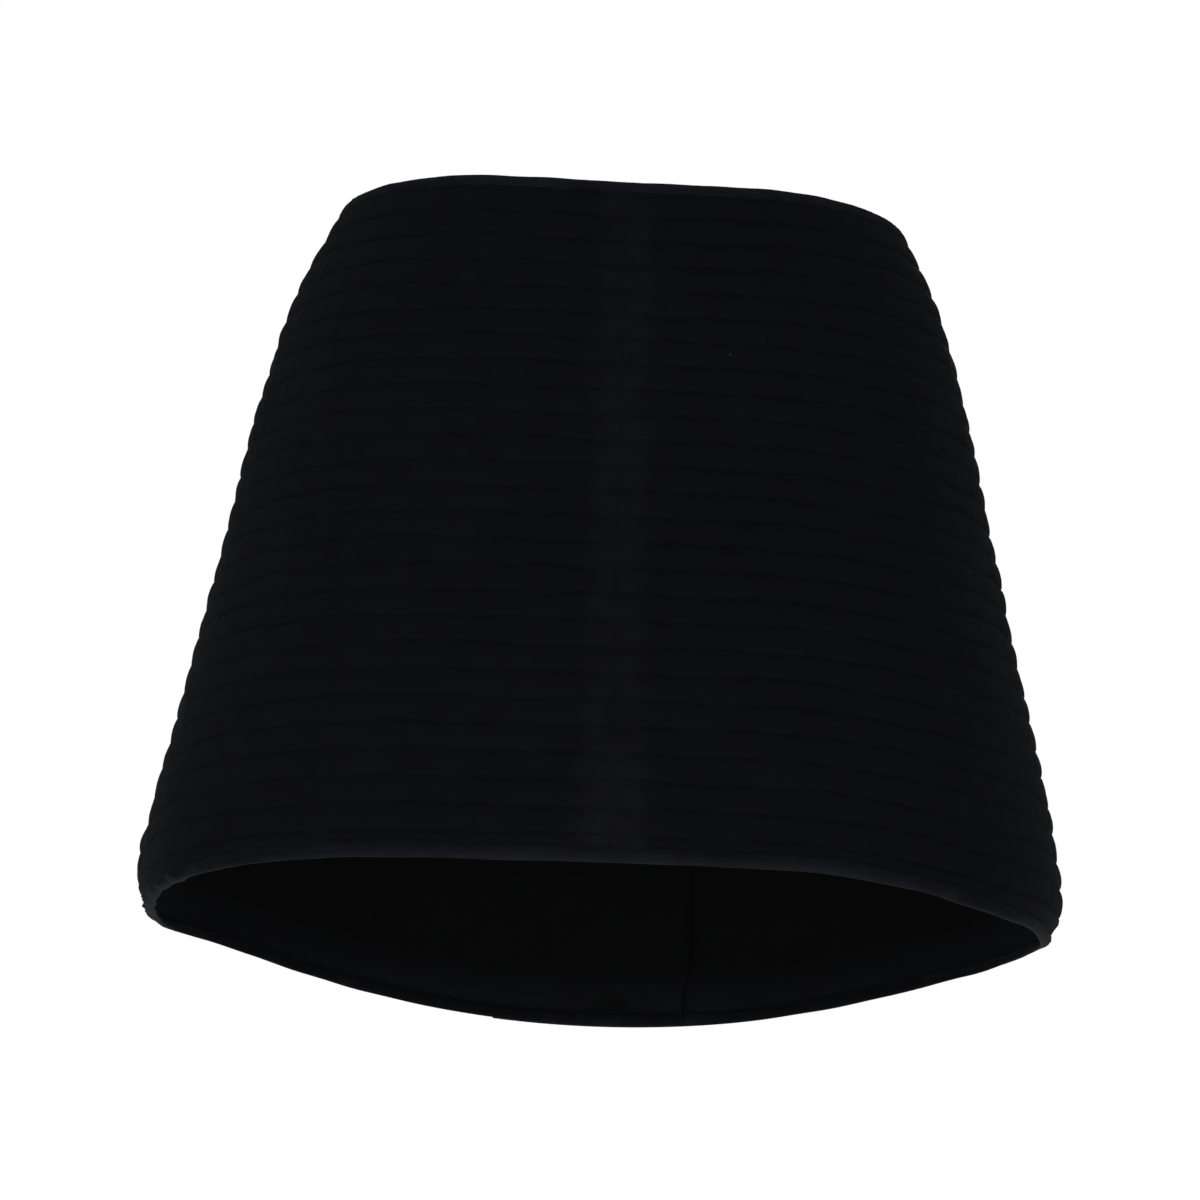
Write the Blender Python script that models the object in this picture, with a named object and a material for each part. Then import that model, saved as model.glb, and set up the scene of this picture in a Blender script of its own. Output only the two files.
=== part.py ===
"""A ribbed A-line wrap skirt in its worn form, open at the waist and at the hem.

The origin is the middle of the waist opening. +Z is up, -Y is the front and +X is the wearer's
left. Lengths are in metres. A turn is an angle in degrees round the body: 0 at the centre front,
+90 at the left side seam and -90 at the right one. The cloth is one strip that starts past the
centre back on the right, goes round the front and ends past the centre back on the left, where
it laps over its own start.
"""
import math
from collections import namedtuple

import bmesh
import bpy

NAME = "wrap_skirt"

# Cloth
GAP = 0.0003             # between pieces that touch
THIN_WALL = 0.0018       # at a quilting groove
RIB_RELIEF = 0.0015      # from groove to crest
RIBS = 25.4              # between the bindings; the last one is cut by the hem
PRESSED_RELIEF = 0.25    # share of the relief left beside the pressed centre-front seam
PRESSED_HALF = 0.008     # half the width of that pressed strip
PRESSED_FADE = 0.006     # over which the ribs come back to full height
INNER = -THIN_WALL - RIB_RELIEF / 2
OUTER = RIB_RELIEF / 2

# Waist and hem
WAIST_BAND = 0.0053
HEM_BAND = 0.0073
BAND_ROUND = 0.0008
FRONT_LENGTH = 0.3305    # straight down from the waist level to the hem
SIDE_DIP = 0.011         # hem at the side seams, below the centre front
FRONT_CORNER = 5         # powers that keep that dip close to the side seams, in front
BACK_CORNER = 12         # and behind
BACK_DIP = 0.0345        # hem at the centre back, below the centre front
BACK_SWEEP = 1.7         # power of that dip
WAIST_DIP = 0.006        # waist at the centre front, below the sides
WAIST_SWEEP = 7          # power of that dip
LEAN = 0.0015            # the left side hangs this much lower than level, and the right one higher

# Wrap at the centre back
LAP_TURN = 13.5          # each edge runs this far past the centre back
LAP_GAP = 0.00045        # a little more than GAP, as the inner face has wider facets
LAP_LIFT = THIN_WALL + RIB_RELIEF + LAP_GAP
LAP_START = 144.0        # turn where the upper layer starts to leave the middle surface
LAP_FULL = 162.0         # turn where it is clear of the lower layer, short of that layer's edge

# Cross-sections of the cloth's middle surface at drops below the waist
Section = namedtuple("Section", "drop half_width front_depth back_depth")
SECTIONS = (
    Section(0.000, 0.1342, 0.0915, 0.0955),
    Section(0.040, 0.1532, 0.0983, 0.1050),
    Section(0.083, 0.1654, 0.1060, 0.1155),
    Section(0.149, 0.1785, 0.1175, 0.1300),
    Section(0.231, 0.1961, 0.1328, 0.1400),
    Section(0.300, 0.2099, 0.1455, 0.1482),
    Section(0.330, 0.2119, 0.1510, 0.1515),
    Section(0.348, 0.2010, 0.1530, 0.1525),
    Section(0.370, 0.1975, 0.1550, 0.1535),
)
FRONT_POWER = 2.08       # at the waist; an ellipse has 2, and more is squarer
FRONT_SQUARING = 0.65    # added to it for each metre down
BACK_POWER = 2.10

# Mesh
RIB_PHASES = (0.0, 0.18, 0.5, 0.82)
RIB_ROUNDNESS = 0.6
INNER_ROWS = 15
FRONT_TURNS = (0.0, 3.5, 7.0, 15.0, 23.0, 31.0, 40.0, 49.0, 58.0, 66.0, 74.0, 82.0, 90.0)
LAP_TURNS = (180 - LAP_TURN, 180 - LAP_TURN / 3, 180 + LAP_TURN / 3, 180 + LAP_TURN)
SEAT_TURNS = (90.0, 98.0, 106.0, 115.0, 124.0, 134.0)
OVER_TURNS = SEAT_TURNS + (LAP_START, 148.5, 153.0, 157.5, LAP_FULL) + LAP_TURNS
UNDER_TURNS = SEAT_TURNS + (LAP_START, 153.0, LAP_FULL) + LAP_TURNS

# Each panel's turns run away from the centre front; side is +1 on the wearer's left.
Panel = namedtuple("Panel", "node side turns ends_in_seam")
PANELS = (
    Panel("front_left", 1, FRONT_TURNS, True),
    Panel("front_right", -1, FRONT_TURNS, True),
    Panel("back_over", 1, OVER_TURNS, False),
    Panel("back_under", -1, UNDER_TURNS, False),
)

CLOTH_COLOUR = (0.0070, 0.0075, 0.0095, 1.0)
BINDING_COLOUR = (0.0100, 0.0105, 0.0130, 1.0)
CLOTH_ROUGHNESS = 0.92
BINDING_ROUGHNESS = 0.80


def clear_scene():
    for thing in list(bpy.data.objects):
        bpy.data.objects.remove(thing, do_unlink=True)


def smoothstep(low, high, value):
    share = min(1.0, max(0.0, (value - low) / (high - low)))
    return share * share * (3 - 2 * share)


def section_size(column, drop):
    """One size of the section at a drop, on a smooth curve through the table's rows."""
    last = len(SECTIONS) - 2
    row = 0
    while row < last and SECTIONS[row + 1].drop < drop:
        row += 1

    def slope(at):
        before = SECTIONS[max(at - 1, 0)]
        after = SECTIONS[min(at + 1, last + 1)]
        return (getattr(after, column) - getattr(before, column)) / (after.drop - before.drop)

    low = SECTIONS[row]
    high = SECTIONS[row + 1]
    span = high.drop - low.drop
    share = (drop - low.drop) / span
    rise = 3 * share ** 2 - 2 * share ** 3
    value = getattr(low, column) * (1 - rise) + getattr(high, column) * rise
    value += span * slope(row) * (share - 2 * share ** 2 + share ** 3)
    value += span * slope(row + 1) * (share ** 3 - share ** 2)
    return value


def signed_power(value, power):
    return math.copysign(abs(value) ** power, value)


def middle_point(turn, drop):
    """x, y and the outward normal of the middle surface."""
    sine = math.sin(math.radians(turn))
    cosine = math.cos(math.radians(turn))
    if cosine > 0:
        power = FRONT_POWER + FRONT_SQUARING * drop
        depth = section_size("front_depth", drop)
    else:
        power = BACK_POWER
        depth = section_size("back_depth", drop)
    width = section_size("half_width", drop)
    reach = (abs(sine) ** power + abs(cosine) ** power) ** (-1 / power)
    across = sine * reach
    along = -cosine * reach
    normal_x = signed_power(across, power - 1) / width
    normal_y = signed_power(along, power - 1) / depth
    length = math.hypot(normal_x, normal_y)
    return width * across, depth * along, normal_x / length, normal_y / length


def lap_lift(turn):
    return LAP_LIFT * smoothstep(LAP_START, LAP_FULL, turn)


def skirt_point(turn, drop, out, along=0.0):
    """A point of the cloth, moved out from the middle surface and along it."""
    x, y, normal_x, normal_y = middle_point(turn, drop)
    out += lap_lift(turn)
    return (x + out * normal_x - along * normal_y, y + out * normal_y + along * normal_x, -drop)


def waist_drop(turn):
    front = max(0.0, math.cos(math.radians(turn)))
    return WAIST_DIP * front ** WAIST_SWEEP + LEAN * math.sin(math.radians(turn))


def hem_drop(turn):
    sine = math.sin(math.radians(turn))
    back = max(0.0, -math.cos(math.radians(turn)))
    corner = BACK_CORNER if back > 0 else FRONT_CORNER
    level = FRONT_LENGTH + SIDE_DIP * abs(sine) ** corner + BACK_DIP * back ** BACK_SWEEP
    return level + LEAN * sine


def panel_drop(turn, fall):
    """Drop of a panel's point, whose fall is 0 at the waist binding and 1 at the hem binding."""
    top = waist_drop(turn) + WAIST_BAND + GAP
    bottom = hem_drop(turn) - HEM_BAND - GAP
    return top + fall * (bottom - top)


def rib_rows():
    """Fall and height, from 0 at a groove to 1 at a crest, of the rows down the outer face."""
    rows = []
    for rib in range(math.ceil(RIBS)):
        for phase in RIB_PHASES:
            if rib + phase < RIBS:
                rows.append((rib + phase, phase))
    rows.append((RIBS, RIBS % 1.0))
    return [(place / RIBS, math.sin(math.pi * phase) ** RIB_ROUNDNESS) for place, phase in rows]


def rib_out(turn, drop, height):
    """How far a rib's row stands out, flattened beside the pressed centre-front seam."""
    across = abs(middle_point(turn, drop)[0])
    in_front = math.cos(math.radians(turn)) > 0
    loose = smoothstep(PRESSED_HALF, PRESSED_HALF + PRESSED_FADE, across) if in_front else 1.0
    relief = RIB_RELIEF * (PRESSED_RELIEF + (1 - PRESSED_RELIEF) * loose)
    return (height - 0.5) * relief


def panel_section(turn, along):
    """The closed loop of a panel's wall at one turn: down the outer face and up the inner one."""
    loop = []
    for fall, height in rib_rows():
        drop = panel_drop(turn, fall)
        loop.append(skirt_point(turn, drop, rib_out(turn, drop, height), along))
    for row in range(INNER_ROWS):
        drop = panel_drop(turn, 1 - row / (INNER_ROWS - 1))
        loop.append(skirt_point(turn, drop, INNER, along))
    return loop


def band_section(turn, top, height):
    """The closed loop of a binding at one turn, with its outer corners rounded."""
    corners = (
        (OUTER - BAND_ROUND, 0.0),
        (OUTER, BAND_ROUND),
        (OUTER, height - BAND_ROUND),
        (OUTER - BAND_ROUND, height),
        (INNER + BAND_ROUND, height),
        (INNER, height - BAND_ROUND),
        (INNER, BAND_ROUND),
        (INNER + BAND_ROUND, 0.0),
    )
    return [skirt_point(turn, top + down, out) for out, down in corners]


def loft(node, sections):
    """A closed body through sections of equal count, capped at both ends."""
    shape = bmesh.new()
    loops = [[shape.verts.new(point) for point in section] for section in sections]
    for here, there in zip(loops, loops[1:]):
        for index, vertex in enumerate(here):
            shape.faces.new((vertex, here[index - 1], there[index - 1], there[index]))
    for cap in (loops[0], loops[-1]):
        shape.faces.new(cap)
    bmesh.ops.recalc_face_normals(shape, faces=shape.faces)
    mesh = bpy.data.meshes.new(node)
    shape.to_mesh(mesh)
    shape.free()
    mesh.shade_smooth()
    mesh.set_sharp_from_angle(angle=math.radians(60))
    return bpy.data.objects.new(node, mesh)


def make_panel(panel):
    """A panel from its own turns, kept half a gap away from each seam."""
    sections = []
    last = len(panel.turns) - 1
    for index, turn in enumerate(panel.turns):
        along = 0.0
        if index == 0:
            along = GAP / 2
        elif index == last and panel.ends_in_seam:
            along = -GAP / 2
        sections.append(panel_section(panel.side * turn, panel.side * along))
    return loft(panel.node, sections)


def strip_turns():
    """All turns of the strip, from the lower layer's edge round to the upper layer's edge."""
    right = [-turn for turn in reversed(FRONT_TURNS[1:] + UNDER_TURNS[1:])]
    return right + list(FRONT_TURNS) + list(OVER_TURNS[1:])


def make_waist_binding():
    sections = [band_section(turn, waist_drop(turn), WAIST_BAND) for turn in strip_turns()]
    return loft("waist_binding", sections)


def make_hem_binding():
    sections = [band_section(turn, hem_drop(turn) - HEM_BAND, HEM_BAND) for turn in strip_turns()]
    return loft("hem_binding", sections)


def make_material(name, colour, roughness):
    material = bpy.data.materials.new(name)
    material.use_nodes = True
    shader = material.node_tree.nodes["Principled BSDF"]
    shader.inputs["Base Color"].default_value = colour
    shader.inputs["Roughness"].default_value = roughness
    shader.inputs["Metallic"].default_value = 0.0
    return material


def build():
    clear_scene()
    collection = bpy.data.collections.new(NAME)
    bpy.context.scene.collection.children.link(collection)
    waist = bpy.data.objects.new("waist_opening", None)
    collection.objects.link(waist)
    cloth = make_material("ribbed_cloth", CLOTH_COLOUR, CLOTH_ROUGHNESS)
    binding = make_material("binding", BINDING_COLOUR, BINDING_ROUGHNESS)
    pieces = [(make_panel(panel), cloth) for panel in PANELS]
    pieces += [(make_waist_binding(), binding), (make_hem_binding(), binding)]
    for piece, material in pieces:
        piece.data.materials.append(material)
        piece.parent = waist
        collection.objects.link(piece)


build()
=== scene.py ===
"""Looks of the ribbed wrap skirt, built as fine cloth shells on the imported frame.

Lengths are in metres. A turn is an angle in degrees round the body: 0 at the centre front, +90 at
the wearer's left side seam (+X) and -90 at the right one. A drop is measured down from the waist.
A place counts ribs down a panel, so it is whole at each quilting groove. Out is measured level,
from the cloth's middle surface.
"""

import math
from collections import namedtuple

import bpy
import numpy as np
from mathutils import Matrix, Vector


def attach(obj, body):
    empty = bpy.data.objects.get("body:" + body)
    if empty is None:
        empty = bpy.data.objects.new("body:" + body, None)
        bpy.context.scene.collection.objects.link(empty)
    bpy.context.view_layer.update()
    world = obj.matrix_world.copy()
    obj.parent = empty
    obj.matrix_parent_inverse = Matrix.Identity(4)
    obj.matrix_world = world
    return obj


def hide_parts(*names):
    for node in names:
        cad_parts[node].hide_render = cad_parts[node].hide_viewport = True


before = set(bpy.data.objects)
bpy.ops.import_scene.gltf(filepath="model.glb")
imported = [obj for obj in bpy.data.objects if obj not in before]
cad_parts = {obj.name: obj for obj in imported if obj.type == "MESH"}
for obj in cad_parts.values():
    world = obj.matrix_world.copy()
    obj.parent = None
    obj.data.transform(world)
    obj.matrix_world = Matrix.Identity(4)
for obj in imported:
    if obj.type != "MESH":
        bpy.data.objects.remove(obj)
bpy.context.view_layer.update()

# ---------------------------------------------------------------- sizes shared with the solids
THIN_WALL = 0.0018
RIB_RELIEF = 0.0015
RIBS = 25.4
INNER = -THIN_WALL - RIB_RELIEF / 2
OUTER = RIB_RELIEF / 2
WAIST_BAND = 0.0053
HEM_BAND = 0.0073
FRONT_LENGTH = 0.3305
SIDE_DIP = 0.011
FRONT_CORNER = 5
BACK_CORNER = 12
BACK_DIP = 0.0345
BACK_SWEEP = 1.7
WAIST_DIP = 0.006
WAIST_SWEEP = 7
LEAN = 0.0015
LAP_TURN = 13.5
LAP_LIFT = THIN_WALL + RIB_RELIEF + 0.00045
LAP_START = 144.0
LAP_FULL = 162.0
LAP_END = 180.0 + LAP_TURN
FRONT_POWER = 2.08
FRONT_SQUARING = 0.65
BACK_POWER = 2.10
SECTIONS = np.array((
    # drop, half width, front depth, back depth
    (0.000, 0.1342, 0.0915, 0.0955),
    (0.040, 0.1532, 0.0983, 0.1050),
    (0.083, 0.1654, 0.1060, 0.1155),
    (0.149, 0.1785, 0.1175, 0.1300),
    (0.231, 0.1961, 0.1328, 0.1400),
    (0.300, 0.2099, 0.1455, 0.1482),
    (0.330, 0.2119, 0.1510, 0.1515),
    (0.348, 0.2010, 0.1530, 0.1525),
    (0.370, 0.1975, 0.1550, 0.1535),
))
SEAMS = (0.0, 90.0, -90.0)
MIDDLE_OUT = (OUTER + INNER) / 2
HALF_WALL = (OUTER - INNER) / 2
MIDDLE_DROP = 0.21            # where lengths along the cloth are measured

# ---------------------------------------------------------------- outer face of a panel
CREST_RISE = 0.00012          # crests stand this much prouder than the solids'
GROOVE_CUT = 0.00018          # and grooves are cut this much deeper
RIB_ROUNDNESS = 0.44
SIDE_RELIEF = 0.35            # extra relief near the side seams
SIDE_RELIEF_TURN = 88
SIDE_RELIEF_HALF = 26
FILL_SPREAD = 0.20            # share of the relief by which a rib's filling varies
GROOVE_SPREAD = 0.48          # share of its depth by which a groove varies
GROOVE_WANDER = 0.05          # ribs by which a groove strays up and down
PUCKER = 0.00016              # ripple that the quilting draws into each rib
PUCKER_ROUNDNESS = 0.8
DENT = 0.00020
DENT_RATE = 0.35              # rows of dents for each rib
LAP_EASE = 6                  # degrees before the lap in which this fine form starts to fade
WAIST_CREST = 0.6             # crest tone that the cloth keeps beside the waist binding, so that no painted groove shade falls there
SQUEEZED = (-0.0001, -0.0008)  # outer face where the waist and the hem binding grip it
SQUEEZE_WIDTH = 0.0022
WAIST_REACH = 0.0012          # by which a panel runs on into the waist binding
HEM_REACH = 0.0042            # and past its solid's edge into the hem binding
REACH_STEPS = (1.0, 0.5)
STEPS_PER_RIB = 10
COLUMN_STEP = 0.0021
NEAR_SEAM = (0.0004, 0.0009, 0.0015, 0.0023, 0.0033)

PRESSED_RELIEF = 0.38         # share of the relief that is left in the pressed strips
PRESSED_HALF = 0.0070
PRESSED_FADE = 0.0080
PRESSED_WANDER = 0.0022
PRESSED_FLARE = 0.0030        # by which the strip is wider at the hem
PRESSED_EDGE = 0.85           # how far a free edge is pressed, beside the centre front's 1
WANDER_RATE = 1200            # degrees of the waves for each metre down
HEM_PAINTED_LIGHT = 0.9                # painted light: how much lighter the pressed strips are painted near the hem
HEM_PAINTED_LIGHT_DROPS = (0.270, 0.322)

SEAM_ROLL = 0.0008            # depth to which the cloth turns in at a side seam
SEAM_ROLL_WIDTH = 0.0013
CENTRE_ROLL = 0.00022         # and at the centre-front seam
CENTRE_ROLL_WIDTH = 0.0009
SEAM_OVERLAP = 0.00004        # so that no light comes through a seam
FREE_EDGE_ROLL = 0.0012
FREE_EDGE_ROUND = 0.0016
FREE_EDGE_STITCH = 0.0075     # topstitching, in from a free edge
STITCH_DENT = 0.0003          # depth to which it draws the cloth in
STITCH_DENT_WIDTH = 0.0012

# ---------------------------------------------------------------- inner face of a panel
INNER_ROWS = 96
INNER_QUILTING = 0.00018      # relief of the quilting
INNER_ROUNDNESS = 0.5
INNER_DENT = 0.00012
INNER_DENT_ROWS = (3, 6)      # first row of its dents, and how many there are down a panel
INNER_SQUEEZE = 0.0014        # by which a binding's grip moves it out
INNER_SEAM_ROLL = 0.0006
INNER_EDGE_ROLL = 0.0009
FACING_HEIGHT = 0.0255        # turned-up hem, from the hem's edge
FACING_THICK = 0.0007
FACING_EDGE = 0.0010
ALLOWANCE_HALF = 0.0105       # seam allowances pressed open
ALLOWANCE_THICK = 0.0006
ALLOWANCE_EDGE = 0.0008
HEM_LIGHT = (0.0150, 0.0310)  # painted shade: the cloth darkens between these heights above the hem's edge
INNER_TONE = 0.8

# Painted light: where the inner face is painted lighter, beside the side seams.
PaintedLight = namedtuple("PaintedLight", "turn half_turn tone")
CORNER_PAINTED_LIGHT = (
    PaintedLight(82, 24, 1.4),
    PaintedLight(-82, 24, 0.5),
)

# ---------------------------------------------------------------- bindings
SEEN_HEM_BAND = 0.0064        # the panel covers the top of the hem binding's solid
BAND_STEP = 0.0020
BAND_ENDS = (0.0005, 0.0011, 0.0019)
STRAIGHT_POINTS = 11
ROUND_POINTS = 15
THICKENING = 0.42             # share of its height over which a binding thickens
END_CLOSING = 0.97            # how far its ends are rounded off
SEAM_CLEARANCE = 0.35         # degrees kept clear of other points beside a seam
OUTER_SIDE = (-0.0008, 0.0008)  # from the middle, where a binding's outer side begins
BAND_DENT = 0.00022           # unevenness of its outer face, from long to short
BAND_RIPPLE = 0.00016
BAND_CRIMP = 0.00012
CRIMP_RATE = 400              # rows of crimps for each metre across
EDGE_WAVER = 0.00020          # by which its free edge strays
TOP_WAVER = 0.00045           # and its sewn edge
SEAM_BULK = 0.12              # swelling where it crosses a seam
SEAM_BULK_WIDTH = 0.006
BULK_CRIMP = 0.35             # share by which crimps vary a swelling
BULK_FROM = -0.001            # a swelling grows from here, from the sewn edge,
BULK_FULL = 0.35              # to this share of the height
BULK_DROP = 0.0004            # and moves the free edge down by this much
SLIM_TURN = 76                # the hem's is narrower around these turns on both sides
SLIM_HALF = 24
SLIM_SHARE = 0.36

# Painted light and shade that make up a binding's tone, in its crest, pressed and inside
# attributes: lighter where it faces forward and towards its free edge, darker sideways, underneath
# and on its inner side.
SIDE_FADE = (0.50, 0.95)      # cosines of the turns between which its painted light gives way to painted shade, sideways
FACED = (-0.0004, 0.0012)     # from the middle, where its lit outer side begins
UNLIT_TONE = -0.20
SEWN_EDGE_TONE = 0.70
FREE_EDGE_TONE = 0.45         # painted light, added towards the free edge
# painted light on the hem binding's lumps
LUMP_TONE = 0.6
SIDE_SHADE = 0.8           # painted shade of the lumpy hem binding, at the sides
UNDER_SHADE = 0.9          # and painted shade underneath
UNDER_WIDTH = 0.0010
BAND_PRESSED = (0.30, 0.85)   # shares of the height between which it is pressed, with a painted sheen
BAND_INSIDE = (-0.0012, -0.0004)  # from the middle, where its inner side, painted in shade, ends

# Soft creases, given one by one. Size is how far each stands out of the cloth's form or into it,
# and lean is how far round its lower end lies from its middle.
Crease = namedtuple("Crease", "turn drop half_turn half_length size lean")
CREASES = (
    Crease(-76, 0.125, 10, 0.040, 0.0012, 5),
    Crease(-58, 0.165, 8, 0.060, -0.0007, 4),
    Crease(-82, 0.240, 12, 0.050, -0.0009, -3),
    Crease(-62, 0.300, 9, 0.040, 0.0011, 2),
    Crease(-33, 0.225, 12, 0.090, 0.0007, 3),
    Crease(-14, 0.090, 9, 0.060, 0.0005, -2),
    Crease(17, 0.255, 11, 0.080, 0.0007, 2),
    Crease(38, 0.110, 12, 0.075, -0.0009, -4),
    Crease(55, 0.200, 10, 0.085, 0.0008, 3),
    Crease(79, 0.065, 9, 0.035, -0.0009, -4),
    Crease(83, 0.275, 10, 0.045, 0.0010, 4),
    Crease(108, 0.140, 11, 0.080, -0.0010, 5),
    Crease(129, 0.260, 12, 0.075, 0.0012, -4),
    Crease(158, 0.120, 12, 0.090, 0.0008, 3),
    Crease(-108, 0.160, 11, 0.085, 0.0010, -5),
    Crease(-131, 0.245, 12, 0.080, -0.0011, 4),
    Crease(-152, 0.095, 12, 0.060, 0.0009, 3),
)

# Fine slanting wrinkles on both sides of each side seam, each drawn between these limits.
WRINKLES = 72
WRINKLE_SEED = 5
WRINKLE_REACH = 27            # degrees from a side seam
WRINKLE_FADE = 0.8            # share of that reach over which they get shallower
WRINKLE_DROPS = (0.03, 0.325)
WRINKLE_SIZE = (0.0004, 0.0009)
WRINKLE_LEAN = (1.5, 4.5)
WRINKLE_HALF_TURN = (2.0, 3.8)
WRINKLE_HALF_LENGTH = (0.006, 0.011)

# Lumps where the hem binding bunches near the side seams. Swell is the share by which it swells.
Lump = namedtuple("Lump", "turn half_turn swell")
LUMPS = (
    Lump(-60.5, 1.7, 0.95),
    Lump(-66.0, 1.5, 0.60),
    Lump(-72.0, 1.9, 0.45),
    Lump(-79.0, 1.6, 0.85),
    Lump(-85.5, 1.9, 0.55),
    Lump(-93.0, 2.0, 0.60),
    Lump(-101.0, 2.2, 0.40),
    Lump(91.0, 2.4, 0.12),
    Lump(104.0, 2.6, 0.18),
)
LUMP_RISE = 0.0016            # by which the sewn edge rises on a lump, per unit of swell

# Places where the hem hangs lower than the solids', or higher where the depth is below 0.
HemSwing = namedtuple("HemSwing", "turn half_turn depth")
HEM_SWINGS = (
    HemSwing(51, 13.5, 0.0036),
    HemSwing(24, 8, -0.0011),
    HemSwing(-13, 10, 0.0008),
    HemSwing(97, 14, -0.0050),
    HemSwing(-103, 12, 0.0014),
)

# Sharp tucks in the panels, just above the sewn edge of the hem binding.
HemTuck = namedtuple("HemTuck", "turn half_turn depth")
HEM_TUCKS = (
    HemTuck(-72, 9.5, 0.0023),
    HemTuck(-95, 6.0, 0.0009),
    HemTuck(106, 7.0, 0.0007),
)
HEM_TUCK_HEIGHT = 0.0082      # above the hem's edge
HEM_TUCK_WIDTH = 0.0017

# A soft dimple inside the back hem, above the binding.
DIMPLE_TURN = 176.5
DIMPLE_HALF = 3.0
DIMPLE_HEIGHT = 0.0104        # above the hem's edge
DIMPLE_TALL = 0.0042
DIMPLE_DEPTH = 0.0012
DIMPLE_SHADE = 1.5            # how far its painted shade darkens the cloth

# Stitches
STITCH_PITCH = 0.0032
STITCH_LENGTH = 0.0023
STITCH_RADIUS = 0.00016
STITCH_RAISE = 0.3            # share of the radius by which a stitch's middle clears the cloth
BAND_STITCH = 0.0015          # topstitching, in from a binding's sewn edge
QUILTING_MARGIN = 1.2         # degrees without stitches at a panel's edges
TOPSTITCH_MARGIN = 1.0        # and at a binding's ends
EDGE_STITCHED = (0.01, 0.99)  # shares of a free edge's length between which it is stitched


def smoothstep(low, high, value):
    share = np.clip((np.asarray(value, float) - low) / (high - low), 0.0, 1.0)
    return share * share * (3 - 2 * share)


def bell(distance, width):
    return np.exp(-(distance / width) ** 2)


# ---------------------------------------------------------------- the skirt's surface
def section_size(column, drop):
    """One size of the section at each drop, on the same smooth curve as the solids'."""
    drops = SECTIONS[:, 0]
    sizes = SECTIONS[:, column]
    row = np.clip(np.searchsorted(drops, drop, side="left") - 1, 0, len(drops) - 2)
    before = np.maximum(np.arange(len(drops)) - 1, 0)
    after = np.minimum(np.arange(len(drops)) + 1, len(drops) - 1)
    slopes = (sizes[after] - sizes[before]) / (drops[after] - drops[before])
    span = drops[row + 1] - drops[row]
    share = (drop - drops[row]) / span
    rise = 3 * share ** 2 - 2 * share ** 3
    value = sizes[row] * (1 - rise) + sizes[row + 1] * rise
    value = value + span * slopes[row] * (share - 2 * share ** 2 + share ** 3)
    return value + span * slopes[row + 1] * (share ** 3 - share ** 2)


def signed_power(value, power):
    return np.sign(value) * np.abs(value) ** power


def middle_surface(turn, drop):
    """x, y and the level outward normal of the cloth's middle surface."""
    turn, drop = np.broadcast_arrays(np.asarray(turn, float), np.asarray(drop, float))
    sine = np.sin(np.radians(turn))
    cosine = np.cos(np.radians(turn))
    front = cosine > 0
    power = np.where(front, FRONT_POWER + FRONT_SQUARING * drop, BACK_POWER)
    depth = np.where(front, section_size(2, drop), section_size(3, drop))
    width = section_size(1, drop)
    reach = (np.abs(sine) ** power + np.abs(cosine) ** power) ** (-1 / power)
    across = sine * reach
    along = -cosine * reach
    normal_x = signed_power(across, power - 1) / width
    normal_y = signed_power(along, power - 1) / depth
    length = np.hypot(normal_x, normal_y)
    return width * across, depth * along, normal_x / length, normal_y / length


def lap_lift(turn):
    return LAP_LIFT * smoothstep(LAP_START, LAP_FULL, turn)


def lapped_share(turn):
    """1 where the back panels lap over each other, falling to 0 beside it."""
    return smoothstep(LAP_START - LAP_EASE, LAP_FULL, np.abs(turn))


def turn_from(turn, centre):
    """How far round a turn lies from another, from -180 to 180."""
    return (turn - centre + 180) % 360 - 180


def fine_wrinkles():
    draw = np.random.RandomState(WRINKLE_SEED)
    wrinkles = []
    for number in range(WRINKLES):
        seam = 90 if number % 2 else -90
        turn = seam + draw.uniform(-WRINKLE_REACH, WRINKLE_REACH)
        drop = draw.uniform(*WRINKLE_DROPS)
        size = draw.uniform(*WRINKLE_SIZE) * draw.choice((-1, 1))
        size = size * bell(turn - seam, WRINKLE_REACH * WRINKLE_FADE)
        lean = draw.uniform(*WRINKLE_LEAN) * (-1 if seam > 0 else 1)
        half_turn = draw.uniform(*WRINKLE_HALF_TURN)
        half_length = draw.uniform(*WRINKLE_HALF_LENGTH)
        wrinkles.append(Crease(turn, drop, half_turn, half_length, size, lean))
    return tuple(wrinkles)


ALL_CREASES = CREASES + fine_wrinkles()


def crease_out(turn, drop):
    """Sum of the creases and tucks. The creases repeat every full turn, so the lapped layers move
    together."""
    total = 0.0
    above = hem_drop(turn) - HEM_TUCK_HEIGHT - drop
    for tuck in HEM_TUCKS:
        total = total - tuck.depth * bell(turn - tuck.turn, tuck.half_turn) * bell(
            above, HEM_TUCK_WIDTH)
    for crease in ALL_CREASES:
        centre = crease.turn + crease.lean * (drop - crease.drop) / crease.half_length
        away = turn_from(turn, centre)
        total = total + crease.size * bell(away, crease.half_turn) * bell(
            drop - crease.drop, crease.half_length)
    return total


def cloth_points(turn, drop, out, along=0.0):
    turn, drop, out, along = np.broadcast_arrays(turn, drop, out, along)
    x, y, normal_x, normal_y = middle_surface(turn, drop)
    out = out + lap_lift(turn) + crease_out(turn, drop)
    return np.stack((x + out * normal_x - along * normal_y,
                     y + out * normal_y + along * normal_x, -drop), axis=-1)


def waist_drop(turn):
    front = np.maximum(0.0, np.cos(np.radians(turn)))
    return WAIST_DIP * front ** WAIST_SWEEP + LEAN * np.sin(np.radians(turn))


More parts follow.
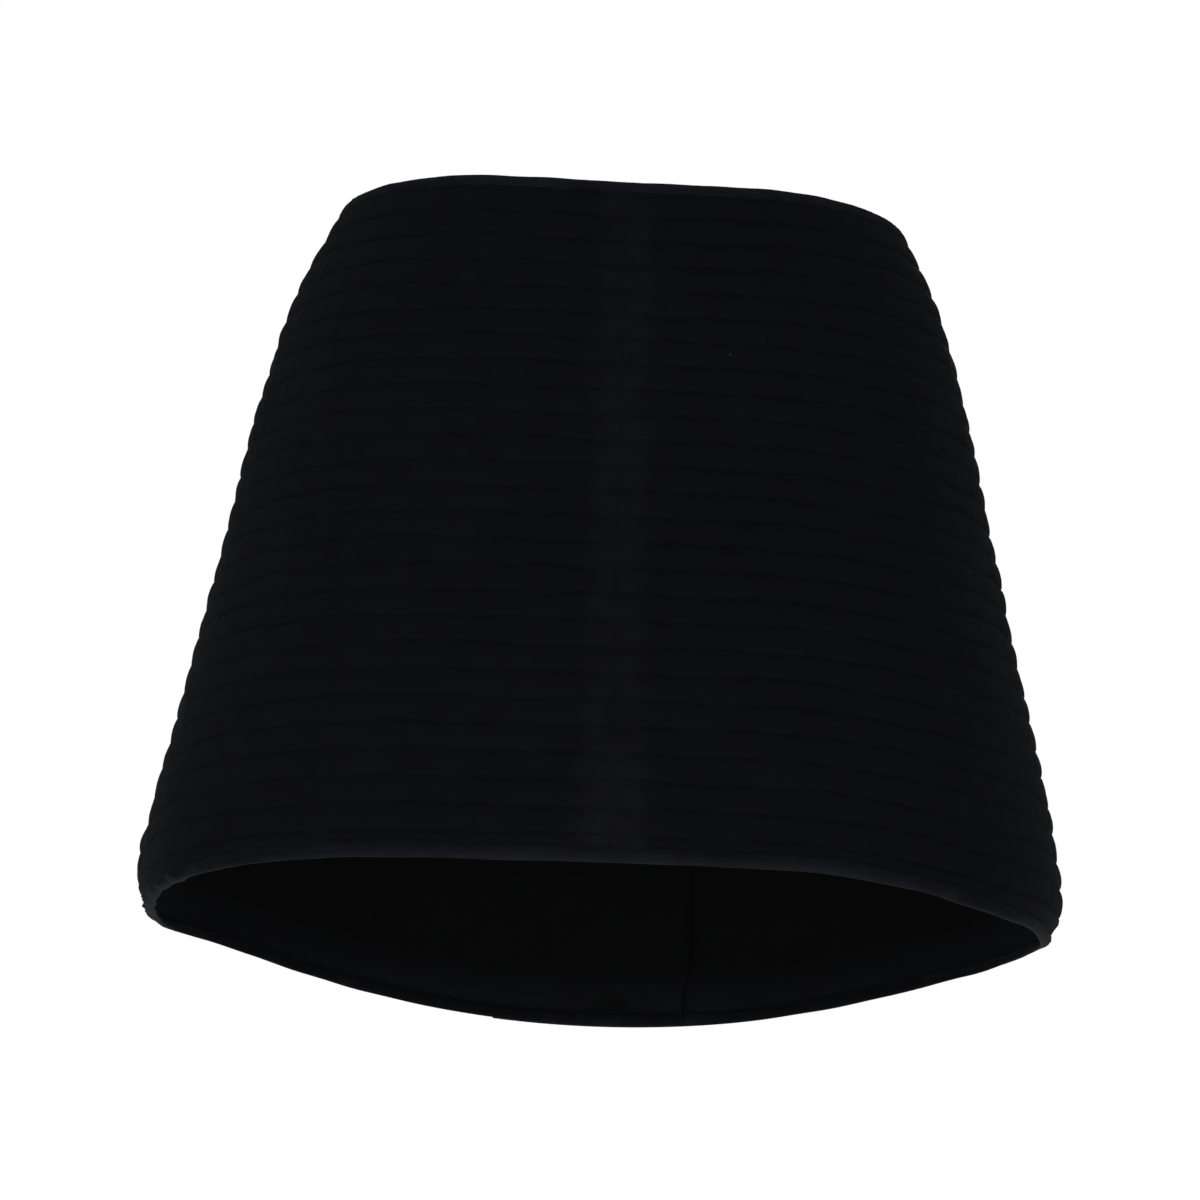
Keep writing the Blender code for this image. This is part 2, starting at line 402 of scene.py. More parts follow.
def hem_drop(turn):
    sine = np.sin(np.radians(turn))
    back = np.maximum(0.0, -np.cos(np.radians(turn)))
    corner = np.where(back > 0, BACK_CORNER, FRONT_CORNER)
    level = FRONT_LENGTH + SIDE_DIP * np.abs(sine) ** corner + BACK_DIP * back ** BACK_SWEEP
    around = turn_from(turn, 0)
    swing = sum(swing.depth * bell(around - swing.turn, swing.half_turn) for swing in HEM_SWINGS)
    return level + swing + LEAN * sine


def panel_top(turn):
    return waist_drop(turn) + WAIST_BAND


def panel_bottom(turn):
    return hem_drop(turn) - HEM_BAND


def distance_along(turn, other, drop):
    """Straight distance between two turns of the middle surface."""
    x, y, _, _ = middle_surface(turn, drop)
    other_x, other_y, _, _ = middle_surface(other, drop)
    return np.hypot(x - other_x, y - other_y)


def cloth_length(turns):
    """Length along the cloth from the first turn to each of them."""
    x, y, _, _ = middle_surface(turns, MIDDLE_DROP)
    return np.concatenate(([0.0], np.cumsum(np.hypot(np.diff(x), np.diff(y)))))


def turns_between(start, end, step, near_ends):
    """Turns at even steps along the cloth, with more at these distances from the ends."""
    fine = np.linspace(start, end, 3000)
    length = cloth_length(fine)
    total = length[-1]
    places = np.linspace(0, total, max(2, int(round(total / step)) + 1))
    first = np.array(near_ends)
    margin = first.max() + step / 2
    clear = (places > margin) & (places < total - first.max() - step / 2)
    clear[[0, -1]] = True
    places = np.unique(np.concatenate((places[clear], first, total - first)))
    return np.interp(places, length, fine)


# ---------------------------------------------------------------- seeded unevenness
def waves(seed, count, low, high):
    """Whole-number waves round the body, so that they meet at every seam."""
    draw = np.random.RandomState(seed)
    frequency = draw.randint(low, high, count)
    phase = draw.uniform(0, 2 * math.pi, count)
    step = draw.uniform(1.0, 5.5, count)
    return list(zip(frequency, phase, step))


FILL_WAVES = waves(3, 8, 9, 46)
WANDER_WAVES = waves(8, 6, 7, 34)
GROOVE_WAVES = waves(13, 7, 11, 52)
DENT_WAVES = waves(21, 7, 5, 21)
PUCKER_WAVES = waves(34, 7, 48, 96)


def unevenness(kind, turn, row):
    """About -1 to 1: smooth along a row, and different on each whole row."""
    total = 0.0
    for frequency, phase, step in kind:
        total = total + np.sin(np.radians(turn) * frequency + phase + step * row)
    return total / math.sqrt(len(kind)) / 1.2


def lack(kind, turn, row):
    """The same, from about 0 where the unevenness is high to 1 where it is low."""
    return 0.5 - 0.5 * unevenness(kind, turn, row)


# ---------------------------------------------------------------- panels
Panel = namedtuple("Panel", "node start end ends_in_seam under")
PANELS = (
    Panel("front_left", 0.0, 90.0, True, False),
    Panel("front_right", 0.0, -90.0, True, False),
    Panel("back_over", 90.0, LAP_END, False, False),
    Panel("back_under", -90.0, -LAP_END, False, True),
)


def free_distance(panel, turn, drop):
    """Distance from the panel's free edge, or a long way if it has none."""
    if panel.ends_in_seam:
        return np.full(np.broadcast(turn, drop).shape, 1.0)
    return distance_along(turn, panel.end, drop)


def seam_distance(panel, turn, drop):
    nearest = distance_along(turn, panel.start, drop)
    if panel.ends_in_seam:
        nearest = np.minimum(nearest, distance_along(turn, panel.end, drop))
    return nearest


def seam_roll(panel, turn, drop):
    """Depth to which the outer face turns in beside the panel's seams."""
    depth = 0.0
    for seam in (panel.start, panel.end) if panel.ends_in_seam else (panel.start,):
        away = distance_along(turn, seam, drop)
        if seam == 0.0:
            depth = depth + CENTRE_ROLL * bell(away, CENTRE_ROLL_WIDTH)
        else:
            depth = depth + SEAM_ROLL * bell(away, SEAM_ROLL_WIDTH)
    return depth


def lump_swell(turn):
    return sum(lump.swell * bell(turn - lump.turn, lump.half_turn) for lump in LUMPS)


def pressed_share(panel, turn, drop):
    """1 in the flattened strips beside the centre-front seam and the free edge."""
    x, _, _, _ = middle_surface(turn, drop)
    wander = unevenness(FILL_WAVES, drop * WANDER_RATE, 2.0 * (turn > 0))
    wander = PRESSED_WANDER * wander - PRESSED_FLARE * (drop / FRONT_LENGTH) ** 2
    seam = np.where(np.abs(turn) < 90, np.abs(x) + wander, 1.0)
    strip = 1 - smoothstep(PRESSED_HALF, PRESSED_HALF + PRESSED_FADE, seam)
    edge = 1 - smoothstep(FREE_EDGE_STITCH, FREE_EDGE_STITCH + PRESSED_FADE,
                          free_distance(panel, turn, drop))
    return np.maximum(strip, PRESSED_EDGE * edge)


def outer_face(panel, turn, place):
    """Drop, out, rib height and pressed share of the outer face. The rib height sets the painted
    shade in the grooves, and the pressed share a painted sheen.
    """
    lapped = lapped_share(turn) * panel.under
    rib = np.floor(place)
    phase = place - rib
    wander = unevenness(WANDER_WAVES, turn, rib) * (1 - phase) \
        + unevenness(WANDER_WAVES, turn, rib + 1) * phase
    held = np.clip(place, 0, 1) * np.clip(RIBS - place, 0, 1)
    fall = (place + GROOVE_WANDER * wander * held) / RIBS
    top = panel_top(turn)
    length = panel_bottom(turn) - top
    drop = top + fall * length

    pressed_sheen = pressed_share(panel, turn, drop)
    share = 1 - (1 - PRESSED_RELIEF) * pressed_sheen
    shape = np.sin(math.pi * phase) ** RIB_ROUNDNESS
    fill = 1 - FILL_SPREAD * lack(FILL_WAVES, turn, rib)
    depth = 1 - GROOVE_SPREAD * lack(GROOVE_WAVES, turn, np.round(place))
    fuller = SIDE_RELIEF * bell(np.abs(turn) - SIDE_RELIEF_TURN, SIDE_RELIEF_HALF) * (1 - lapped)
    floor = (-RIB_RELIEF / 2 - GROOVE_CUT * (1 - lapped)) * depth * (1 + fuller)
    crest = OUTER + CREST_RISE * (1 - lapped)
    out = (floor + (crest - floor) * shape * fill) * share
    pucker = unevenness(PUCKER_WAVES, turn, rib) * np.sin(math.pi * phase) ** PUCKER_ROUNDNESS
    out = out + PUCKER * pucker * (1 - lapped) * share
    out = out + DENT * unevenness(DENT_WAVES, turn, place * DENT_RATE) * (1 - lapped)

    waist_grip = bell(fall * length, SQUEEZE_WIDTH)
    hem_grip = bell((1 - fall) * length, SQUEEZE_WIDTH)
    out = out * (1 - waist_grip - hem_grip) + SQUEEZED[0] * waist_grip + SQUEEZED[1] * hem_grip
    out = out - seam_roll(panel, turn, drop)
    free = free_distance(panel, turn, drop)
    out = out - FREE_EDGE_ROLL * bell(free, FREE_EDGE_ROUND)
    out = out - STITCH_DENT * bell(free - FREE_EDGE_STITCH, STITCH_DENT_WIDTH) * (1 - lapped)
    return drop, out, np.maximum(shape * fill, WAIST_CREST * waist_grip), pressed_sheen


def dimple_share(turn, drop):
    away = turn_from(turn, DIMPLE_TURN)
    height = hem_drop(turn) - drop
    return bell(away, DIMPLE_HALF) * bell(height - DIMPLE_HEIGHT, DIMPLE_TALL)


def inner_face(panel, turn, fall):
    """Drop and out of the inner face."""
    lapped = lapped_share(turn) * (1 - panel.under)
    top = panel_top(turn)
    length = panel_bottom(turn) - top
    drop = top + fall * length
    seam = seam_distance(panel, turn, drop)
    quilted = np.abs(np.sin(math.pi * fall * RIBS)) ** INNER_ROUNDNESS
    facing = 1 - smoothstep(FACING_HEIGHT - FACING_EDGE, FACING_HEIGHT + FACING_EDGE,
                            hem_drop(turn) - drop)
    allowance = 1 - smoothstep(ALLOWANCE_HALF - ALLOWANCE_EDGE, ALLOWANCE_HALF + ALLOWANCE_EDGE,
                               seam)
    grip = bell(fall * length, SQUEEZE_WIDTH) + bell((1 - fall) * length, SQUEEZE_WIDTH)
    first, count = INNER_DENT_ROWS
    extra = INNER_QUILTING * quilted + FACING_THICK * facing + ALLOWANCE_THICK * allowance
    extra = extra + INNER_DENT * (1 + unevenness(DENT_WAVES, turn, first + fall * count))
    out = INNER - extra * (1 - lapped) * (1 - grip)
    out = out + INNER_SQUEEZE * grip + INNER_SEAM_ROLL * bell(seam, SEAM_ROLL_WIDTH)
    out = out + DIMPLE_DEPTH * dimple_share(turn, drop) * panel.under
    return drop, out + INNER_EDGE_ROLL * bell(free_distance(panel, turn, drop), FREE_EDGE_ROUND)


def hem_glow(drop):
    """Painted light: the pressed strips are painted lighter near the hem, where light from below
    falls.
    """
    return 1 + HEM_PAINTED_LIGHT * smoothstep(*HEM_PAINTED_LIGHT_DROPS, drop)


def painted_inner_shade(turn, drop):
    """Painted shade: 1 on the inner face, painted dark as the shade inside the skirt, and in the
    dimple, falling near the hem, where the outer cloth is turned up and light from below is
    painted."""
    return np.minimum(1.0, smoothstep(*HEM_LIGHT, hem_drop(turn) - drop)
                      + DIMPLE_SHADE * dimple_share(turn, drop))


def corner_tone(turn):
    """Tone of the inner face, as the height of a rib's crest gives it to the outer one, painted
    lighter beside the side seams.
    """
    tone = INNER_TONE
    for lit_patch in CORNER_PAINTED_LIGHT:
        tone = tone + lit_patch.tone * bell(turn - lit_patch.turn, lit_patch.half_turn)
    return tone


def reach_rows(values, drop, out):
    """Adds rows above and below that reach into the bindings."""
    upward = drop[0, 0] > drop[0, -1]
    first, last = (-HEM_REACH, WAIST_REACH) if upward else (WAIST_REACH, -HEM_REACH)
    before = np.concatenate([drop[:, :1] - first * step for step in REACH_STEPS], axis=1)
    after = np.concatenate([drop[:, -1:] - last * step for step in REACH_STEPS[::-1]], axis=1)
    drop = np.concatenate((before, drop, after), axis=1)
    widened = [np.concatenate((v[:, :1], v[:, :1], v, v[:, -1:], v[:, -1:]), axis=1)
               for v in (out, *values)]
    return drop, widened[0], widened[1:]


def make_panel(panel):
    """A panel's outer face, then its inner one, as one closed body."""
    near = NEAR_SEAM + tuple(line + step for line in (FREE_EDGE_STITCH, ALLOWANCE_HALF)
                             for step in (-ALLOWANCE_EDGE, 0.0, ALLOWANCE_EDGE))
    turns = turns_between(panel.start, panel.end, COLUMN_STEP, near)
    turn = turns[:, None]
    side = 1.0 if panel.end > panel.start else -1.0
    whole = np.arange(int(RIBS * STEPS_PER_RIB) + 1) / STEPS_PER_RIB
    drop, out, crest, pressed_sheen = outer_face(panel, turn, whole[None, :])
    pressed_sheen = pressed_sheen * np.ones_like(drop)
    drop, out, (crest, pressed_sheen) = reach_rows((crest, pressed_sheen), drop, out)
    inner_drop, inner_out = inner_face(panel, turn, np.linspace(1, 0, INNER_ROWS)[None, :])
    inner_drop, inner_out, _ = reach_rows((), inner_drop, inner_out)

    along = np.zeros((len(turns), 1))
    along[0] = -side * SEAM_OVERLAP
    if panel.ends_in_seam:
        along[-1] = side * SEAM_OVERLAP
    points = np.concatenate((cloth_points(turn, drop, out, along),
                             cloth_points(turn, inner_drop, inner_out, along)), axis=1)
    plain = np.zeros_like(inner_drop)
    # The attributes carry painted light and shade: the rib height darkens the grooves, the pressed
    # strips get a painted sheen, lighter near the hem, and the inner face is painted dark as the
    # shade inside the skirt, lighter beside the side seams.
    piece = grid_mesh(panel.node + "_cloth", points, drop.shape[1], {
        "crest": np.concatenate((crest, plain + corner_tone(turn)), axis=1),
        "pressed_sheen": np.concatenate((pressed_sheen * hem_glow(drop), plain), axis=1),
        "inside_shade": np.concatenate((np.zeros_like(drop), painted_inner_shade(turn, inner_drop)), axis=1),
    })
    add_cloth_map(piece, turns, np.concatenate((drop, inner_drop), axis=1))
    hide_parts(panel.node)
    return piece


# ---------------------------------------------------------------- meshes
def end_cap(loop, heights, outer_count):
    """Triangles across an end of a body, between its outer rows and its inner ones, which run
    back from the far edge."""
    outer = 0
    inner = len(loop) - 1
    faces = []
    while outer < outer_count - 1 or inner > outer_count:
        along_outer = outer < outer_count - 1 and heights[outer + 1] <= heights[inner - 1]
        if inner == outer_count or along_outer:
            faces.append([loop[outer], loop[outer + 1], loop[inner]])
            outer += 1
        else:
            faces.append([loop[outer], loop[inner - 1], loop[inner]])
            inner -= 1
    return faces


def add_object(name, data):
    added = bpy.data.objects.new(name, data)
    bpy.context.scene.collection.objects.link(added)
    return added


def grid_mesh(name, points, outer_count, attributes):
    """A closed body from a grid of points, whose rows are equal closed loops."""
    columns, count, _ = points.shape
    index = np.arange(columns * count).reshape(columns, count)
    here = index[:-1]
    there = index[1:]
    quads = np.stack((here, there, np.roll(there, -1, axis=1), np.roll(here, -1, axis=1)), axis=-1)
    faces = quads.reshape(-1, 4).tolist()
    cap_start = len(faces)
    for column, backward in ((0, False), (columns - 1, True)):
        heights = np.abs(points[column, :, 2] - points[column, 0, 2])
        for face in end_cap(index[column].tolist(), heights, outer_count):
            faces.append(face[::-1] if backward else face)
    mesh = bpy.data.meshes.new(name)
    mesh.from_pydata(points.reshape(-1, 3).tolist(), [], faces)
    for key, values in attributes.items():
        layer = mesh.attributes.new(key, "FLOAT", "POINT")
        layer.data.foreach_set("value", np.asarray(values, np.float32).ravel())
    mesh.update()
    face_outward(mesh)
    mesh.shade_smooth()
    for face in mesh.polygons[cap_start:]:
        face.use_smooth = False
    return add_object(name, mesh)


def face_outward(mesh):
    """Turns the faces so that the closed body's volume is positive."""
    mesh.calc_loop_triangles()
    corners = np.zeros(len(mesh.loop_triangles) * 3, np.int32)
    mesh.loop_triangles.foreach_get("vertices", corners)
    places = np.zeros(len(mesh.vertices) * 3)
    mesh.vertices.foreach_get("co", places)
    a, b, c = places.reshape(-1, 3)[corners].reshape(-1, 3, 3).transpose(1, 0, 2)
    if (a * np.cross(b, c)).sum() < 0:
        mesh.flip_normals()


def add_cloth_map(piece, turns, drops):
    """A map in metres, along the cloth and down it, for the weave."""
    along = np.repeat(cloth_length(turns), drops.shape[1])
    flat = np.stack((along, drops.ravel()), axis=-1)
    mesh = piece.data
    layer = mesh.uv_layers.new(name="cloth")
    vertex = np.zeros(len(mesh.loops), np.int32)
    mesh.loops.foreach_get("vertex_index", vertex)
    layer.data.foreach_set("uv", flat[vertex].astype(np.float32).ravel())


# ---------------------------------------------------------------- binding shapes
def band_half_thickness(band, down):
    swell = 1 - (1 - band.thin) * np.clip(1 - down / (THICKENING * band.height), 0, 1) ** 2
    return HALF_WALL * swell


def band_profile(band):
    """The binding's section as (out, down) points round its edge: thin at the top, where it meets
    the panel, and rounded at the bottom."""
    end = band.height - band.rounded
    straight = np.linspace(0, end, STRAIGHT_POINTS)
    arc = np.radians(np.linspace(0, 180, ROUND_POINTS))
    outer = [(MIDDLE_OUT + band_half_thickness(band, down), down) for down in straight]
    bottom = [(MIDDLE_OUT + HALF_WALL * math.cos(angle), end + band.rounded * math.sin(angle))
              for angle in arc[1:-1]]
    inner = [(MIDDLE_OUT - band_half_thickness(band, down), down) for down in straight[::-1]]
    return np.array(outer + bottom + inner)


def seam_nearness(turn, width):
    """1 at each seam that a binding crosses, falling to 0 over the width."""
    return sum(bell(distance_along(turn, seam, MIDDLE_DROP), width) for seam in SEAMS)


# Thin is the share of its thickness that a binding keeps where it is sewn on. Inner tone is how far
# its inner side is painted in shade.
Band = namedtuple("Band", "node edge_drop down_sign height rounded thin lumpy inner_tone seed")
BANDS = (
    Band("waist_binding", waist_drop, -1, WAIST_BAND, 0.0017, 0.62, 0.0, 1.0, 31),
    Band("hem_binding", hem_drop, 1, SEEN_HEM_BAND, 0.0021, 0.25, 1.0, 0.15, 41),
)

# Kinds of waves along a binding: what is added to its seed, how many there are, and the limits of
# their number round the body.
BandWaves = namedtuple("BandWaves", "seed_step count low high")
DENT_KIND = BandWaves(0, 7, 11, 60)
RIPPLE_KIND = BandWaves(1, 7, 60, 150)
EDGE_KIND = BandWaves(2, 6, 9, 50)
CRIMP_KIND = BandWaves(3, 8, 130, 290)
TOP_KIND = BandWaves(4, 7, 25, 130)


def band_unevenness(band, kind, turn, row):
    return unevenness(waves(band.seed + kind.seed_step, kind.count, kind.low, kind.high), turn, row)


def band_shape(band, turn, down, out):
    """Drop and out, from the middle, of points on a binding that are laid out evenly."""
    lapped = lapped_share(turn)
    free = np.minimum(distance_along(turn, LAP_END, MIDDLE_DROP) + (turn < 0),
                      distance_along(turn, -LAP_END, MIDDLE_DROP) + (turn > 0))
    out = out * np.sqrt(1 - np.clip(1 - free / FREE_EDGE_ROUND, 0, END_CLOSING) ** 2)
    outer_side = smoothstep(*OUTER_SIDE, out)
    dents = band_unevenness(band, DENT_KIND, turn, 0.0)
    ripple = band_unevenness(band, RIPPLE_KIND, turn, 0.0)
    crimp = band_unevenness(band, CRIMP_KIND, turn, down * CRIMP_RATE)
    out = out + (BAND_DENT * dents + BAND_RIPPLE * ripple + BAND_CRIMP * crimp) * (
        outer_side - 0.5) * (1 - lapped)
    lumps = band.lumpy * lump_swell(turn)
    bulk = lumps + SEAM_BULK * seam_nearness(turn, SEAM_BULK_WIDTH)
    grown = smoothstep(BULK_FROM, BULK_FULL * band.height, down)
    out = out * (1 + bulk * (1 + BULK_CRIMP * crimp) * grown)
    share = smoothstep(0, band.height, down)
    top_waver = band_unevenness(band, TOP_KIND, turn, 1.0) * (1 - lapped)
    edge_waver = band_unevenness(band, EDGE_KIND, turn, 1.0) * (1 - lapped)
    down = down + share * (EDGE_WAVER * edge_waver + BULK_DROP * bulk)
    down = down + (1 - share) * (TOP_WAVER * top_waver - LUMP_RISE * lumps)
    slim = 1 - SLIM_SHARE * band.lumpy * bell(np.abs(turn) - SLIM_TURN, SLIM_HALF)
    return band.edge_drop(turn) + band.down_sign * (down - band.height) * slim, out


def make_band(band):
    """A binding, from its profile laid out from the panel towards the skirt's edge."""
    profile = band_profile(band)
    turns = turns_between(-LAP_END, LAP_END, BAND_STEP, BAND_ENDS)
    spaced = [np.abs(turns - seam) > SEAM_CLEARANCE for seam in SEAMS]
    turns = np.unique(np.concatenate((turns[np.all(spaced, axis=0)], SEAMS)))
    turn = turns[:, None]
    flat_down = profile[None, :, 1]
    drop, out = band_shape(band, turn, flat_down, profile[None, :, 0] - MIDDLE_OUT)
    points = cloth_points(turn, drop, MIDDLE_OUT + out)
    zeros = np.zeros(points.shape[:2])
    forward = smoothstep(*SIDE_FADE, np.cos(np.radians(turn)))
    share = smoothstep(0, band.height, flat_down)
    lumps = band.lumpy * lump_swell(turn)
    faced = smoothstep(*FACED, out)
    painted_light = (SEWN_EDGE_TONE + FREE_EDGE_TONE * share) * forward * faced
    painted_shade = SIDE_SHADE * (1 - forward) + UNDER_SHADE * bell(out, UNDER_WIDTH) * share
    pressed_sheen = smoothstep(*(limit * band.height for limit in BAND_PRESSED), flat_down)
    # Its attributes carry only painted light and shade: lighter where it faces forward, on its lit
    # outer side, on the lumps and towards its free edge, and darker sideways, underneath and on its
    # inner side.
    piece = grid_mesh(band.node + "_cloth", points, (len(profile) + 1) // 2, {
        "crest": zeros + UNLIT_TONE + painted_light + LUMP_TONE * lumps - band.lumpy * painted_shade,
        "pressed_sheen": zeros + pressed_sheen * forward * faced,
        "inside_shade": zeros + band.inner_tone * (1 - smoothstep(*BAND_INSIDE, out)),
    })
    add_cloth_map(piece, turns, drop * np.ones_like(out))
    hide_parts(band.node)
    return piece


# ---------------------------------------------------------------- stitches
def make_stitches(name, rows):
    """Small spindles of thread. A row is a function that gives points for an array of values, such
    as turns, and the two values between which it runs."""
    corners = []
    faces = []
    for points_at, start, end in rows:
        fine = np.linspace(start, end, 1500)
        path = points_at(fine)
        length = np.concatenate(([0.0], np.cumsum(np.linalg.norm(np.diff(path, axis=0), axis=1))))
        count = int(length[-1] / STITCH_PITCH)
        centres = (np.arange(count) + 0.5) * length[-1] / count
        first, centre, last = (
            np.stack([np.interp(centres + shift, length, path[:, axis]) for axis in range(3)], -1)
            for shift in (-STITCH_LENGTH / 2, 0.0, STITCH_LENGTH / 2))
        run = last - first
        run /= np.linalg.norm(run, axis=1, keepdims=True)
        upright = np.abs(run[:, 2:]) > 0.7
        up = np.where(upright, (0.0, 1.0, 0.0), (0.0, 0.0, 1.0))
        up = up - run * (up * run).sum(axis=1, keepdims=True)
        up /= np.linalg.norm(up, axis=1, keepdims=True)
        off = np.cross(run, up)
        ring = [centre + STITCH_RADIUS * (math.cos(angle) * up + math.sin(angle) * off)
                for angle in np.radians((0, 90, 180, 270))]
        base = sum(len(block) for block in corners)
        block = np.stack((first, *ring, last), axis=1)
        corners.append(block.reshape(-1, 3))
        starts = base + 6 * np.arange(count)[:, None]
        for a, b in ((1, 2), (2, 3), (3, 4), (4, 1)):
            faces.append(starts + np.array((0, b, a)))
            faces.append(starts + np.array((5, a, b)))
    mesh = bpy.data.meshes.new(name)
    mesh.from_pydata(np.concatenate(corners).tolist(), [], np.concatenate(faces).tolist())
    mesh.update()
    face_outward(mesh)
    mesh.shade_smooth()
    return add_object(name, mesh)


def quilting_rows(panel):
    """A row of stitches in each groove, up to the seams and the free edge."""
    margin = QUILTING_MARGIN if panel.end > panel.start else -QUILTING_MARGIN
    start = panel.start + margin
    end = panel.end - margin
    rows = []
    for groove in range(1, int(RIBS) + 1):
        def points_at(turn, groove=groove):
            drop, out, _, _ = outer_face(panel, turn, float(groove))
            return cloth_points(turn, drop, out + STITCH_RAISE * STITCH_RADIUS)
        rows.append((points_at, start, end))
    return rows


def edge_row(band):
    """Topstitching along a binding, just inside its sewn edge."""
    def points_at(turn):
        down = np.full_like(turn, BAND_STITCH)
        out = band_half_thickness(band, BAND_STITCH)
        drop, out = band_shape(band, turn, down, np.full_like(turn, out))
        return cloth_points(turn, drop, MIDDLE_OUT + out)
    return points_at, -LAP_END + TOPSTITCH_MARGIN, LAP_END - TOPSTITCH_MARGIN


def free_edge_row(panel):
    """Topstitching down a free edge, a set distance in from it."""
    side = 1.0 if panel.end > panel.start else -1.0

    def points_at(place):
        fall = panel_top(panel.end) + place * (panel_bottom(panel.end) - panel_top(panel.end))
        inward = np.array([FREE_EDGE_STITCH / distance_along(panel.end - side, panel.end, drop)
                           for drop in fall])
        turn = panel.end - side * inward
        drop, out, _, _ = outer_face(panel, turn, place * RIBS)
        return cloth_points(turn, drop, out + STITCH_RAISE * STITCH_RADIUS)
    return points_at, *EDGE_STITCHED


# ---------------------------------------------------------------- materials
class Shading:
    """Short calls for one material's nodes."""

    def __init__(self, name):
        self.material = bpy.data.materials.new(name)
        self.material.use_nodes = True
        self.tree = self.material.node_tree
        self.shader = self.tree.nodes["Principled BSDF"]

    def node(self, kind, **settings):
        node = self.tree.nodes.new(kind)
        for key, value in settings.items():
            setattr(node, key, value)
        return node

    def set(self, socket, value):
        if isinstance(value, bpy.types.NodeSocket):
            self.tree.links.new(value, socket)
        else:
            socket.default_value = value

    def maths(self, operation, *values, clamp=False):
        node = self.node("ShaderNodeMath", operation=operation, use_clamp=clamp)
        for socket, value in zip(node.inputs, values):
            self.set(socket, value)
        return node.outputs[0]

    def attribute(self, name):
        return self.node("ShaderNodeAttribute", attribute_name=name).outputs["Fac"]

    def noise(self, place, scale, detail=3.0, stretch=(1.0, 1.0, 1.0)):
        mapping = self.node("ShaderNodeMapping")
        mapping.inputs["Scale"].default_value = stretch
        self.set(mapping.inputs["Vector"], place)
        node = self.node("ShaderNodeTexNoise")
        node.inputs["Scale"].default_value = scale
        node.inputs["Detail"].default_value = detail
        self.set(node.inputs["Vector"], mapping.outputs["Vector"])
        return node.outputs["Fac"]

    def blend(self, share, first, second, way="MIX"):
        node = self.node("ShaderNodeMix", data_type="RGBA", blend_type=way)
        self.set(node.inputs["Factor"], share)
        self.set(node.inputs[6], first)
        self.set(node.inputs[7], second)
        return node.outputs[2]

    def bump(self, height):
        node = self.node("ShaderNodeBump")
        node.inputs["Strength"].default_value = 1.0
        node.inputs["Distance"].default_value = 1.0
        self.set(node.inputs["Height"], height)
        self.set(self.shader.inputs["Normal"], node.outputs["Normal"])


def colour(red, green, blue):
    return (red, green, blue, 1.0)


